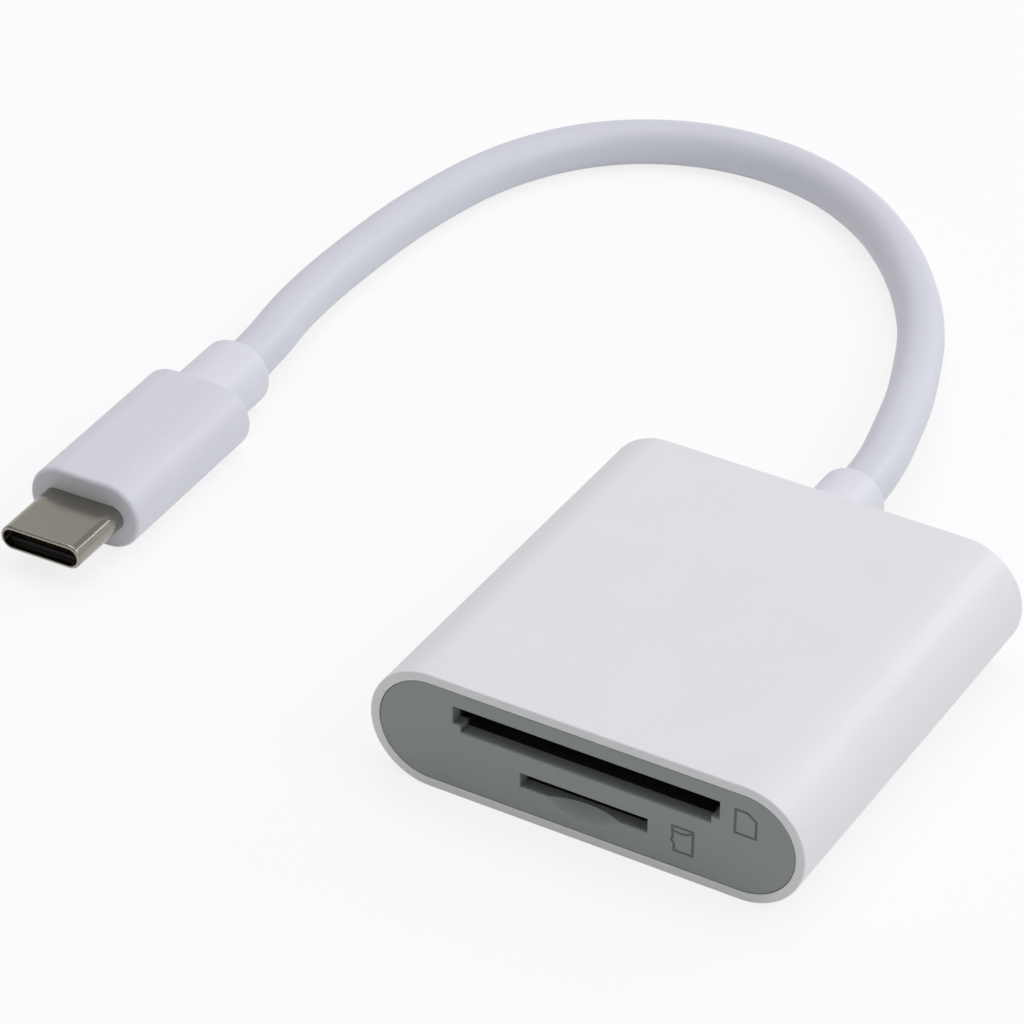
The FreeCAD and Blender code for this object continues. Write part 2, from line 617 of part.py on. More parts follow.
# Two rows of flat contacts, and a latch spring at each end of the tongue opening
row_level = TONGUE_GAP / 2
row_top = row_level + PLUG_CONTACT_SHEET
contact_end = shell_end + PLUG_CONTACT_FOOT
upper_row = []
lower_row = []
for index in range(PLUG_CONTACT_COUNT):
    contact_x = (index - (PLUG_CONTACT_COUNT - 1) / 2) * PLUG_CONTACT_PITCH
    left = contact_x - PLUG_CONTACT_WIDTH / 2
    right = contact_x + PLUG_CONTACT_WIDTH / 2
    upper_row.append(block(left, right, PLUG_CONTACT_FRONT, contact_end, row_level, row_top))
    lower_row.append(block(left, right, PLUG_CONTACT_FRONT, contact_end, -row_top, -row_level))
tongue_half = PLUG_CONTACT_COUNT * PLUG_CONTACT_PITCH / 2 + TONGUE_SIDE
latch_half = LATCH_HEIGHT / 2
arm_outer = tongue_half - LATCH_GAP
arm_inner = arm_outer - LATCH_SHEET
hook_inner = arm_inner - LATCH_HOOK
hook_end = LATCH_FRONT + LATCH_HOOK_LENGTH
latches = []
for side in (-1, 1):
    arm = block(side * arm_inner, side * arm_outer, LATCH_FRONT, shell_end, -latch_half, latch_half)
    hook = block(side * hook_inner, side * arm_inner, LATCH_FRONT, hook_end, -latch_half, latch_half)
    latches.append(arm.fuse(hook).removeSplitter())

# Insulator round the contacts, the plug's own small board, and the inner mould
tongue_end = INSULATOR_SET_BACK + TONGUE_DEPTH
insulator = capsule(
    bore_width - 2 * INSULATOR_GAP, bore_height - 2 * INSULATOR_GAP, INSULATOR_SET_BACK, shell_end, 0
)
tongue_room = block(-tongue_half, tongue_half, INSULATOR_SET_BACK, tongue_end, -row_top, row_top)
insulator = insulator.cut([tongue_room] + upper_row + lower_row + latches)
plug_board_half = PLUG_BOARD_WIDTH / 2
plug_board_end = shell_end + PLUG_BOARD_LENGTH
plug_board = block(-plug_board_half, plug_board_half, shell_end, plug_board_end, -row_level, row_level)
core = capsule(PLUG_WIDTH - 2 * PLUG_WALL, PLUG_HEIGHT - 2 * PLUG_WALL, core_front, core_end, 0)
inner_mould = core.cut([shell_solid, plug_board] + upper_row + lower_row)

# White plug housing with softened ends, and the strain relief behind it
plug_housing = capsule(PLUG_WIDTH, PLUG_HEIGHT, PLUG_SHELL_OUT, plug_end, 0)
plug_housing = soften_end(plug_housing, PLUG_SHELL_OUT, PLUG_FRONT_ROUND, 1)
plug_housing = soften_end(plug_housing, plug_end, PLUG_REAR_ROUND, -1)
opening_width = PLUG_SHELL_WIDTH + 2 * PLUG_SHELL_GAP
opening_height = PLUG_SHELL_HEIGHT + 2 * PLUG_SHELL_GAP
shell_opening = capsule(opening_width, opening_height, PLUG_SHELL_OUT, core_front, 0)
plug_neck = PLUG_RELIEF_NECK / 2
neck_bore = spindle([(0, core_end), (plug_neck, core_end), (plug_neck, plug_end), (0, plug_end)], 0)
plug_housing = plug_housing.cut([core, shell_opening, neck_bore])
plug_collar = capsule(PLUG_RELIEF_WIDTH, PLUG_HEIGHT, plug_end, relief_end, 0)
plug_collar = soften_end(plug_collar, relief_end, PLUG_RELIEF_END_ROUND, -1)
plug_relief = plug_collar.fuse(neck_bore).removeSplitter()

# Lay the plug flat on the floor, turned a little
lay_place = FreeCAD.Vector(PLUG_TIP_X, PLUG_TIP_Y, PLUG_HEIGHT / 2)
lay = FreeCAD.Placement(lay_place, FreeCAD.Rotation(FreeCAD.Vector(0, 0, 1), PLUG_TURN))
plug_nodes = [
    ("plug_shell", [plug_shell]),
    ("plug_contacts_upper", upper_row),
    ("plug_contacts_lower", lower_row),
    ("plug_latches", latches),
    ("plug_insulator", [insulator]),
    ("plug_board", [plug_board]),
    ("plug_inner_mould", [inner_mould]),
    ("plug_housing", [plug_housing]),
    ("plug_strain_relief", [plug_relief]),
]
for node, shapes in plug_nodes:
    for shape in shapes:
        shape.Placement = lay
    save(node, shapes)

# Cable: out of the rear strain relief, down to the floor, and round to the plug
lead_in = lay.multVec(FreeCAD.Vector(0, relief_end + PLUG_LEAD, 0))
lead_end = lay.multVec(FreeCAD.Vector(0, relief_end, 0))
cable_route = [
    (0, RELIEF_END, MID),
    (0, RELIEF_END + CABLE_LEAD, MID),
    (-2.2, 42.2, 4.9),
    (-4.6, 50.1, 3.3),
    (-10.1, 64.2, CABLE_RADIUS),
    (-20.0, 76.5, CABLE_RADIUS),
    (-31.0, 82.7, CABLE_RADIUS),
    (-42.5, 83.1, CABLE_RADIUS),
    (-52.4, 78.1, CABLE_RADIUS),
    (-58.8, 68.8, CABLE_RADIUS),
    (-61.6, 56.2, CABLE_RADIUS),
    (-62.3, 43.5, CABLE_RADIUS),
    (-61.7, 33.7, 2.7),
    (lead_in.x, lead_in.y, lead_in.z),
    (lead_end.x, lead_end.y, lead_end.z),
]
save("cable", [cord(cable_route, CABLE_DIAMETER, CABLE_SIDES)])
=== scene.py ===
import math
import bmesh
import bpy
from mathutils import Matrix, Vector


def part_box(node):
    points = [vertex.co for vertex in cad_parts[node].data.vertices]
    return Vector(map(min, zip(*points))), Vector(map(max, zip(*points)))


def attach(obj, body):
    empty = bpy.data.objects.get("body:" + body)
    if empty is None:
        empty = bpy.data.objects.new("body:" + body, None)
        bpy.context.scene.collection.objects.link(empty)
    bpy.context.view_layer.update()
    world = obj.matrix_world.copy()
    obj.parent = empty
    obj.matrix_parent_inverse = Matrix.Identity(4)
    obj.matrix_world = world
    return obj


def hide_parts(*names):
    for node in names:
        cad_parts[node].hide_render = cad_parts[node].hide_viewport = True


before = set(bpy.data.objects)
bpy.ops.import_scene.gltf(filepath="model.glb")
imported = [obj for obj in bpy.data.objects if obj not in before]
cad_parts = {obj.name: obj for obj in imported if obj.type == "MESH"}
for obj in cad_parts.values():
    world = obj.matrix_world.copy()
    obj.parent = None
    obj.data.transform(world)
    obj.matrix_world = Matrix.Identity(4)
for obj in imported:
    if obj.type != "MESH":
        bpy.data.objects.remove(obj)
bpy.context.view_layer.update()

# Camera: a long lens from the front right and above, as the reader was photographed.
# The angles and the distance were fitted to the housing's edges and slots.
MM = 0.001
camera_place = Vector((141.906, -283.345, 234.605)) * MM
camera_turn = math.radians(29.52)
camera_tilt = math.radians(34.11)
camera_roll = math.radians(0.93)
level_right = Vector((math.cos(camera_turn), math.sin(camera_turn), 0))
camera_back = Vector((
    math.sin(camera_turn) * math.cos(camera_tilt),
    -math.cos(camera_turn) * math.cos(camera_tilt),
    math.sin(camera_tilt),
))
level_up = camera_back.cross(level_right)
camera_right = level_right * math.cos(camera_roll) + level_up * math.sin(camera_roll)
camera_up = level_up * math.cos(camera_roll) - level_right * math.sin(camera_roll)
camera_axes = Matrix((camera_right, camera_up, camera_back)).transposed()
camera_data = bpy.data.cameras.new("camera")
camera_data.sensor_width = 36
camera_data.lens = 163.83
camera_data.clip_start = 0.01
camera = bpy.data.objects.new("camera", camera_data)
camera.matrix_world = Matrix.Translation(camera_place) @ camera_axes.to_4x4()
bpy.context.scene.collection.objects.link(camera)
bpy.context.scene.camera = camera


# Housing sleeve: one moulding of white ABS, a flat tube with full-round sides and a closed back.
# It is made in a two-slide mould with a fine satin grain, and the board slides into its rails.
def rounded_path(corners):
    """Points along (inset, y, radius) corners, each corner turned into an arc of its radius."""
    arc_steps = 6
    path = []
    count = len(corners)
    for index in range(count):
        corner = Vector(corners[index][:2])
        radius = corners[index][2]
        if radius == 0:
            path.append(corner)
            continue
        before = (Vector(corners[index - 1][:2]) - corner).normalized()
        after = (Vector(corners[(index + 1) % count][:2]) - corner).normalized()
        half = before.angle(after) / 2
        reach = radius / math.tan(half)
        middle = corner + (before + after).normalized() * (radius / math.sin(half))
        start = corner + before * reach - middle
        end = corner + after * reach - middle
        for step in range(arc_steps + 1):
            path.append(middle + start.lerp(end, step / arc_steps).normalized() * radius)
    return path


FLAT_STEPS = 8
ROUND_STEPS = 36


def capsule_ring(half_flat, radius, y, z_mid):
    """Points round a flat outline with full-round sides, in the plane across Y."""
    ring = []
    for side in (1, -1):
        for step in range(FLAT_STEPS):
            across = side * half_flat * (2 * step / FLAT_STEPS - 1)
            ring.append(Vector((across, y, z_mid + side * radius)))
        for step in range(ROUND_STEPS):
            angle = math.pi * step / ROUND_STEPS
            x = side * (half_flat + radius * math.sin(angle))
            ring.append(Vector((x, y, z_mid + side * radius * math.cos(angle))))
    return ring


def capsule_rings(path, half_flat, radius, z_mid):
    """One flat outline for each (inset, y) point of a path, smaller by its inset."""
    return [capsule_ring(half_flat, radius - inset, y, z_mid) for inset, y in path]


def round_ring(radius, y, z_mid):
    """Points round a circle, as many as a flat outline has, in the plane across Y."""
    count = 2 * (FLAT_STEPS + ROUND_STEPS)
    ring = []
    for step in range(count):
        angle = 2 * math.pi * (step - FLAT_STEPS / 2) / count
        ring.append(Vector((radius * math.sin(angle), y, z_mid + radius * math.cos(angle))))
    return ring


def skin(form, rings, closed):
    """Join rings of equal count with four-sided faces; open ends get a flat cap."""
    loops = [[form.verts.new(point) for point in ring] for ring in rings]
    pairs = list(zip(loops[:-1], loops[1:]))
    if closed:
        pairs.append((loops[-1], loops[0]))
    else:
        form.faces.new(loops[0])
        form.faces.new(reversed(loops[-1]))
    for first, second in pairs:
        for index in range(len(first)):
            form.faces.new((first[index - 1], first[index], second[index], second[index - 1]))


def add_piece(name, form, material):
    """Turn a finished form into a smooth-shaded piece that rides on the one body."""
    sharp_turn = math.radians(32)
    bmesh.ops.recalc_face_normals(form, faces=form.faces[:])
    mesh = bpy.data.meshes.new(name)
    form.to_mesh(mesh)
    form.free()
    mesh.shade_smooth()
    mesh.set_sharp_from_angle(angle=sharp_turn)
    mesh.materials.append(material)
    piece = bpy.data.objects.new(name, mesh)
    bpy.context.scene.collection.objects.link(piece)
    even = piece.modifiers.new("even_shading", "WEIGHTED_NORMAL")
    even.keep_sharp = True
    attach(piece, "root")
    return piece


def grained_finish(name, colour, roughness, grain, depth, metal=0):
    """A moulded or plated finish: faintly cloudy colour, uneven gloss, and a grain of a size and depth."""
    clouds_per_metre = 140
    dark_cloud = 0.975
    light_cloud = 1.015
    gloss_spread = 0.05
    material = bpy.data.materials.new(name)
    material.use_nodes = True
    nodes = material.node_tree.nodes
    links = material.node_tree.links
    shader = nodes["Principled BSDF"]
    shader.inputs["Metallic"].default_value = metal
    place = nodes.new("ShaderNodeTexCoord")
    clouds = nodes.new("ShaderNodeTexNoise")
    clouds.inputs["Scale"].default_value = clouds_per_metre
    clouds.inputs["Detail"].default_value = 3
    tint = nodes.new("ShaderNodeMix")
    tint.data_type = "RGBA"
    tint.inputs["A"].default_value = [channel * dark_cloud for channel in colour] + [1]
    tint.inputs["B"].default_value = [min(1, channel * light_cloud) for channel in colour] + [1]
    gloss = nodes.new("ShaderNodeMapRange")
    gloss.inputs["To Min"].default_value = roughness - gloss_spread
    gloss.inputs["To Max"].default_value = roughness + gloss_spread
    texture = nodes.new("ShaderNodeTexNoise")
    texture.inputs["Scale"].default_value = 1 / grain
    texture.inputs["Detail"].default_value = 4
    bump = nodes.new("ShaderNodeBump")
    bump.inputs["Strength"].default_value = 1
    bump.inputs["Distance"].default_value = depth
    links.new(place.outputs["Object"], clouds.inputs["Vector"])
    links.new(place.outputs["Object"], texture.inputs["Vector"])
    links.new(clouds.outputs["Fac"], tint.inputs["Factor"])
    links.new(clouds.outputs["Fac"], gloss.inputs["Value"])
    links.new(texture.outputs["Fac"], bump.inputs["Height"])
    links.new(tint.outputs["Result"], shader.inputs["Base Color"])
    links.new(gloss.outputs["Result"], shader.inputs["Roughness"])
    links.new(bump.outputs["Normal"], shader.inputs["Normal"])
    return material


housing_low, housing_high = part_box("housing_sleeve")
housing_width = housing_high.x - housing_low.x
housing_height = housing_high.z - housing_low.z
housing_front = housing_low.y
housing_rear = housing_high.y
housing_mid = (housing_low.z + housing_high.z) / 2
wall = 1.3 * MM
rear_wall = 1.6 * MM
front_lip = 0.85 * MM
mouth_round = 0.06 * MM
front_round = 0.15 * MM
rear_round = 0.3 * MM
socket_gap = 0.1 * MM
bezel_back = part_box("sd_socket_frame")[0].y - socket_gap
cable_hole = 2.8 * MM
half_flat = (housing_width - housing_height) / 2
half_height = housing_height / 2
housing_path = rounded_path([
    (front_lip, bezel_back, 0),
    (front_lip, housing_front, mouth_round),
    (0, housing_front, front_round),
    (0, housing_rear, rear_round),
    (2 * wall, housing_rear, 0),
])
housing_rings = capsule_rings(housing_path, half_flat, half_height, housing_mid)
housing_rings += [
    round_ring(cable_hole, housing_rear, housing_mid),
    round_ring(cable_hole, housing_rear - rear_wall, housing_mid),
    capsule_ring(half_flat, half_height - wall, housing_rear - rear_wall, housing_mid),
    capsule_ring(half_flat, half_height - wall, bezel_back, housing_mid),
]
housing_form = bmesh.new()
skin(housing_form, housing_rings, True)


# Inside the sleeve: two guide rails and a stop on each side hold the board.
# A pocket in each side wall takes a snap lug of the bezel. All are cut in the mould's core.
def carve(form, operation, blocks):
    """Join boxes to a form or cut them out of it; each box is given by two corners."""
    block_form = bmesh.new()
    for low, high in blocks:
        size = Matrix.Diagonal((*(high - low), 1))
        bmesh.ops.create_cube(block_form, size=1, matrix=Matrix.Translation((low + high) / 2) @ size)
    items = []
    for name, source in (("work", form), ("blocks", block_form)):
        mesh = bpy.data.meshes.new(name)
        source.to_mesh(mesh)
        item = bpy.data.objects.new(name, mesh)
        bpy.context.scene.collection.objects.link(item)
        items.append(item)
    block_form.free()
    work, tool = items
    cut = work.modifiers.new("cut", "BOOLEAN")
    cut.operation = operation
    cut.object = tool
    cut.solver = "EXACT"
    result = work.evaluated_get(bpy.context.evaluated_depsgraph_get())
    form.clear()
    form.from_mesh(result.data)
    for item in items:
        mesh = item.data
        bpy.data.objects.remove(item)
        bpy.data.meshes.remove(mesh)


board_low, board_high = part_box("circuit_board")
rail_gap = 0.1 * MM
rail_height = 0.9 * MM
rail_bite = 1.0 * MM
stop_length = 1.0 * MM
rail_front = bezel_back + 3.5 * MM
rail_rear = board_high.y + stop_length
upper_rail = board_high.z + rail_gap
lower_rail = board_low.z - rail_gap
pocket_front = bezel_back + 0.85 * MM
pocket_rear = bezel_back + 2.65 * MM
pocket_rise = 1.6 * MM
pocket_depth = 0.35 * MM
side_outside = housing_width / 2
side_inside = side_outside - wall
rails = []
stops = []
pockets = []
for side in (-1, 1):
    near, far = sorted((side * (board_high.x - rail_bite), side * (side_outside - wall / 2)))
    for low, high in ((upper_rail, upper_rail + rail_height), (lower_rail - rail_height, lower_rail)):
        rails.append((Vector((near, rail_front, low)), Vector((far, rail_rear, high))))
    stops.append((
        Vector((near, board_high.y, lower_rail - rail_height / 2)),
        Vector((far, rail_rear, upper_rail + rail_height / 2)),
    ))
    near, far = sorted((side * (side_inside - wall), side * (side_inside + pocket_depth)))
    pockets.append((
        Vector((near, pocket_front, housing_mid - pocket_rise)),
        Vector((far, pocket_rear, housing_mid + pocket_rise)),
    ))
bmesh.ops.recalc_face_normals(housing_form, faces=housing_form.faces[:])
carve(housing_form, "UNION", rails)
carve(housing_form, "UNION", stops)
carve(housing_form, "DIFFERENCE", pockets)
white_abs = grained_finish(
    "white_abs", (0.75, 0.75, 0.755), roughness=0.38, grain=0.12 * MM, depth=0.0012 * MM
)
housing = add_piece("housing", housing_form, white_abs)
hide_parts("housing_sleeve")


# Front bezel: a grey ABS plate with a spark-eroded grain, snapped into the mouth of the sleeve.
# The stepped card slot, the small slot and the thumbnail scoop are cut by the mould's core.
def dress(material, *names):
    """Give carried-over pieces their finish."""
    for name in names:
        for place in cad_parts[name].material_slots:
            place.material = material


bezel_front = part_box("front_bezel")[0].y
grey_abs = grained_finish(
    "grey_abs", (0.279, 0.30, 0.291), roughness=0.62, grain=0.10 * MM, depth=0.004 * MM
)
dress(grey_abs, "front_bezel")


# Card signs: two small outlines printed in dark grey on the bezel, beside the slots.
# They are plain outlines of a full-size and a small card, a film of ink on the plate.
def ink_outline(form, points, closed):
    """A thin flat film of ink along (x, z) points in millimetres, with mitred corners."""
    line_width = 0.23 * MM
    film = 0.012 * MM
    mitre_limit = 0.4
    path = [Vector(point) * MM for point in points]
    count = len(path)
    left = []
    right = []
    for index in range(count):
        before = path[index - 1] if closed or index else path[index]
        after = path[(index + 1) % count] if closed or index < count - 1 else path[index]
        arriving = (path[index] - before).normalized() if path[index] != before else None
        leaving = (after - path[index]).normalized() if after != path[index] else None
        arriving = arriving or leaving
        leaving = leaving or arriving
        normal = Vector((-arriving.y - leaving.y, arriving.x + leaving.x)).normalized()
        spread = line_width / 2 / max(mitre_limit, normal.dot(Vector((-arriving.y, arriving.x))))
        left.append(path[index] + normal * spread)
        right.append(path[index] - normal * spread)
    film_top = bezel_front - film
    loops = []
    for line, depth in ((left, film_top), (right, film_top), (right, bezel_front), (left, bezel_front)):
        loops.append([form.verts.new((point.x, depth, point.y)) for point in line])
    for lane in range(len(loops)):
        first = loops[lane - 1]
        second = loops[lane]
        for index in range(count if closed else count - 1):
            after = (index + 1) % count
            form.faces.new((first[index], first[after], second[after], second[index]))
    if not closed:
        form.faces.new([loop[0] for loop in loops])
        form.faces.new([loop[-1] for loop in reversed(loops)])


full_card = [(13.74, 6.49), (13.74, 8.80), (14.80, 8.78), (15.62, 8.16), (15.62, 6.49)]
small_card = [
    (8.16, 4.94), (8.25, 3.86), (8.12, 3.50), (8.38, 3.20),
    (8.38, 2.53), (10.08, 2.53), (10.08, 4.94),
]
small_card_lip = [(8.30, 4.52), (8.64, 4.41), (9.02, 4.38), (9.44, 4.45), (9.96, 4.70)]
ink_form = bmesh.new()
ink_outline(ink_form, full_card, True)
ink_outline(ink_form, small_card, True)
ink_outline(ink_form, small_card_lip, False)
grey_ink = grained_finish(
    "grey_ink", (0.10, 0.105, 0.108), roughness=0.55, grain=0.10 * MM, depth=0.003 * MM
)
add_piece("card_signs", ink_form, grey_ink)

# Circuit board: glass-epoxy under a green solder mask, slid into the rails from the front.
# The same board stuff makes the small board inside the plug.
solder_mask = grained_finish(
    "solder_mask", (0.012, 0.10, 0.045), roughness=0.3, grain=0.5 * MM, depth=0.004 * MM
)
dress(solder_mask, "circuit_board", "plug_board")

# Card sockets: black glass-filled frames soldered to both faces of the board.
# Their gold-plated springs touch the card, and folded steel covers close them.
socket_black = grained_finish(
    "socket_black", (0.02, 0.02, 0.022), roughness=0.55, grain=0.08 * MM, depth=0.003 * MM
)
dress(socket_black, "sd_socket_frame", "microsd_socket_frame")


def drawn_metal(name, colour, roughness, streak, depth):
    """Rolled or drawn metal: long fine streaks along Y in its gloss and surface."""
    streak_squeeze = 0.04
    dark_streak = 0.92
    light_streak = 1.06
    gloss_spread = 0.06
    material = bpy.data.materials.new(name)
    material.use_nodes = True
    nodes = material.node_tree.nodes
    links = material.node_tree.links
    shader = nodes["Principled BSDF"]
    shader.inputs["Metallic"].default_value = 1
    place = nodes.new("ShaderNodeTexCoord")
    stretch = nodes.new("ShaderNodeMapping")
    stretch.inputs["Scale"].default_value = (1, streak_squeeze, 1)
    streaks = nodes.new("ShaderNodeTexNoise")
    streaks.inputs["Scale"].default_value = 1 / streak
    streaks.inputs["Detail"].default_value = 4
    gloss = nodes.new("ShaderNodeMapRange")
    gloss.inputs["To Min"].default_value = roughness - gloss_spread
    gloss.inputs["To Max"].default_value = roughness + gloss_spread
    tint = nodes.new("ShaderNodeMix")
    tint.data_type = "RGBA"
    tint.inputs["A"].default_value = [channel * dark_streak for channel in colour] + [1]
    tint.inputs["B"].default_value = [min(1, channel * light_streak) for channel in colour] + [1]
    bump = nodes.new("ShaderNodeBump")
    bump.inputs["Strength"].default_value = 1
    bump.inputs["Distance"].default_value = depth
    links.new(place.outputs["Object"], stretch.inputs["Vector"])
    links.new(stretch.outputs["Vector"], streaks.inputs["Vector"])
    links.new(streaks.outputs["Fac"], gloss.inputs["Value"])
    links.new(streaks.outputs["Fac"], tint.inputs["Factor"])
    links.new(streaks.outputs["Fac"], bump.inputs["Height"])
    links.new(gloss.outputs["Result"], shader.inputs["Roughness"])
    links.new(tint.outputs["Result"], shader.inputs["Base Color"])
    links.new(bump.outputs["Normal"], shader.inputs["Normal"])
    return material


gold_plate = drawn_metal(
    "gold_plate", (0.83, 0.62, 0.26), roughness=0.25, streak=0.2 * MM, depth=0.0005 * MM
)
dress(gold_plate, "sd_socket_contacts", "microsd_socket_contacts")
cover_steel = drawn_metal(
    "cover_steel", (0.62, 0.62, 0.61), roughness=0.3, streak=0.3 * MM, depth=0.0006 * MM
)
dress(cover_steel, "sd_socket_cover", "microsd_socket_cover")

# Chips and small parts: black moulded packages and fired ceramic, soldered under the board.
# The crystal's can is pressed steel and takes the covers' finish.
chip_epoxy = grained_finish(
    "chip_epoxy", (0.022, 0.022, 0.025), roughness=0.6, grain=0.06 * MM, depth=0.003 * MM
)
tan_ceramic = grained_finish(
    "tan_ceramic", (0.30, 0.19, 0.09), roughness=0.45, grain=0.08 * MM, depth=0.002 * MM
)
black_ceramic = grained_finish(
    "black_ceramic", (0.03, 0.03, 0.035), roughness=0.4, grain=0.08 * MM, depth=0.002 * MM
)
dress(chip_epoxy, "controller_chip", "voltage_regulator")
dress(tan_ceramic, "capacitors")
dress(black_ceramic, "resistors")
dress(cover_steel, "clock_crystal")

# Wires: six stranded conductors in coloured insulation, soldered to pads on the board's end.
# They come out of the strain relief together, inside the housing.
wire_colours = {
    "power_wire": (0.45, 0.012, 0.012),
    "ground_wire": (0.015, 0.015, 0.015),
    "data_plus_wire": (0.012, 0.20, 0.04),
    "data_minus_wire": (0.70, 0.70, 0.70),
    "receive_pair_wire": (0.015, 0.04, 0.35),
    "transmit_pair_wire": (0.55, 0.14, 0.012),
}
for wire, colour in wire_colours.items():
    insulation = grained_finish(wire + "_jacket", colour, roughness=0.45, grain=0.2 * MM, depth=0.002 * MM)
    dress(insulation, wire)

# Rear strain relief: a soft white sleeve moulded onto the cable, with a groove for the rear wall.
# It is a turned form with a softly rounded end, and it fills the hole in the housing.
soft_white = grained_finish(
    "soft_white", (0.693, 0.702, 0.736), roughness=0.42, grain=0.15 * MM, depth=0.0015 * MM
)
relief_low, relief_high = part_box("rear_strain_relief")
tip = 0.3 * MM
flange = 3.5 * MM
relief_radius = 3.15 * MM
relief_round = 0.6 * MM
relief_path = rounded_path([
    (tip, relief_low.y, 0),
    (flange, relief_low.y, 0),
    (flange, housing_rear - rear_wall, 0),
    (cable_hole, housing_rear - rear_wall, 0),
    (cable_hole, housing_rear, 0),
    (relief_radius, housing_rear, 0),
    (relief_radius, relief_high.y, relief_round),
    (tip, relief_high.y, 0),
])
relief_form = bmesh.new()
skin(relief_form, [round_ring(radius, y, housing_mid) for radius, y in relief_path], False)
relief = add_piece("rear_relief", relief_form, soft_white)
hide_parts("rear_strain_relief")

# Plug shell: one piece of drawn and nickel-plated steel, with a rolled rim round its mouth.
# The plug's pieces are shaped with the mouth at the origin, then laid flat beside the housing.
plug_tip = Vector((-58.83, -12.4, 3.3)) * MM
plug_turn = math.radians(1.6)
plug_lay = Matrix.Translation(plug_tip) @ Matrix.Rotation(plug_turn, 4, "Z")


def add_plug_piece(name, rings, closed, material):
    """Join rings round the plug's axis and lay the form where the plug lies."""
    form = bmesh.new()
    skin(form, rings, closed)
    bmesh.ops.transform(form, matrix=plug_lay, verts=form.verts[:])
    return add_piece(name, form, material)


shell_end = 11.0 * MM
shell_flat = 2.925 * MM
shell_rise = 1.2 * MM
shell_wall = 0.3 * MM
rim_round = 0.24 * MM
mouth_edge = 0.05 * MM
shell_path = rounded_path([
    (0, shell_end, 0),
    (0, 0, rim_round),
    (shell_wall, 0, mouth_edge),
    (shell_wall, shell_end, 0),
])
shell_rings = capsule_rings(shell_path, shell_flat, shell_rise, 0)
# Plated finish in nickel's own warm tone, but about half as bright as bare nickel: painted shade that dims
# its reflections of the pale floor and surround.
nickel_with_painted_shade = grained_finish(
    "nickel_with_painted_shade", (0.33, 0.31, 0.27), roughness=0.2, grain=0.05 * MM, depth=0.0002 * MM, metal=1
)
plug_shell = add_plug_piece("plug_sleeve", shell_rings, True, nickel_with_painted_shade)
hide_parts("plug_shell")

# Plug insides: a black insulator with a slot for the socket's tongue, gold contacts and side springs.
# The springs, which are steel, take the shell's darkened plated finish as painted shade that dims their
# bright reflections of the floor; a hidden inner mould holds all this and a small board.
inner_white = grained_finish(
    "inner_mould", (0.62, 0.62, 0.60), roughness=0.5, grain=0.2 * MM, depth=0.002 * MM
)
dress(socket_black, "plug_insulator")
dress(gold_plate, "plug_contacts_upper", "plug_contacts_lower")
# Painted shade: the springs get the darker plated finish so that their glints off the floor come out dim.
dress(nickel_with_painted_shade, "plug_latches")
dress(inner_white, "plug_inner_mould")

# Plug housing: white ABS over the inner mould, with full-round sides and softened ends.
# The shell comes out of a close opening in its front.
plug_length = 19.2 * MM
front_wall = 1.25 * MM
core_length = 12.1 * MM
core_wall = 1.0 * MM
shell_play = 0.01 * MM
face_inset = 1.2 * MM
plug_front_round = 0.4 * MM
plug_rear_round = 0.35 * MM
plug_flat = 2.35 * MM
plug_rise = 3.3 * MM
plug_neck = 2.6 * MM
plug_front = 7.1 * MM
plug_rear = plug_front + plug_length
core_front = plug_front + front_wall
core_rear = core_front + core_length
core_rise = plug_rise - core_wall
opening_rise = shell_rise + shell_play
plug_path = rounded_path([
    (face_inset, plug_front, 0),
    (0, plug_front, plug_front_round),
    (0, plug_rear, plug_rear_round),
    (face_inset, plug_rear, 0),
])
plug_rings = [
    capsule_ring(shell_flat, opening_rise, core_front, 0),
    capsule_ring(shell_flat, opening_rise, plug_front, 0),
]
plug_rings += capsule_rings(plug_path, plug_flat, plug_rise, 0)
plug_rings += [
    round_ring(plug_neck, plug_rear, 0),
    round_ring(plug_neck, core_rear, 0),
    capsule_ring(plug_flat, core_rise, core_rear, 0),
    capsule_ring(plug_flat, core_rise, core_front, 0),
]
plug_white = grained_finish(
    "plug_white", (0.655, 0.662, 0.704), roughness=0.38, grain=0.12 * MM, depth=0.0012 * MM
)
plug_cover = add_plug_piece("plug_cover", plug_rings, True, plug_white)
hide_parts("plug_housing")

# Plug strain relief: a soft white oval collar moulded onto the cable, as high as the plug.
# It fills the softened edge and the neck hole in the back of the plug housing.
collar_flat = 0.2 * MM
collar_bite = 0.3 * MM
collar_length = 7.35 * MM
collar_round = 0.8 * MM
collar_start = plug_rear - collar_bite
collar_end = plug_rear + collar_length
collar_path = rounded_path([
    (0, collar_start, 0),
    (0, collar_end, collar_round),
    (plug_rise - tip, collar_end, 0),
])
collar_rings = [
    round_ring(tip, core_rear, 0),
    round_ring(plug_neck, core_rear, 0),
    round_ring(plug_neck, collar_start, 0),
]
collar_rings += capsule_rings(collar_path, collar_flat, plug_rise, 0)
collar = add_plug_piece("plug_collar", collar_rings, False, soft_white)
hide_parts("plug_strain_relief")

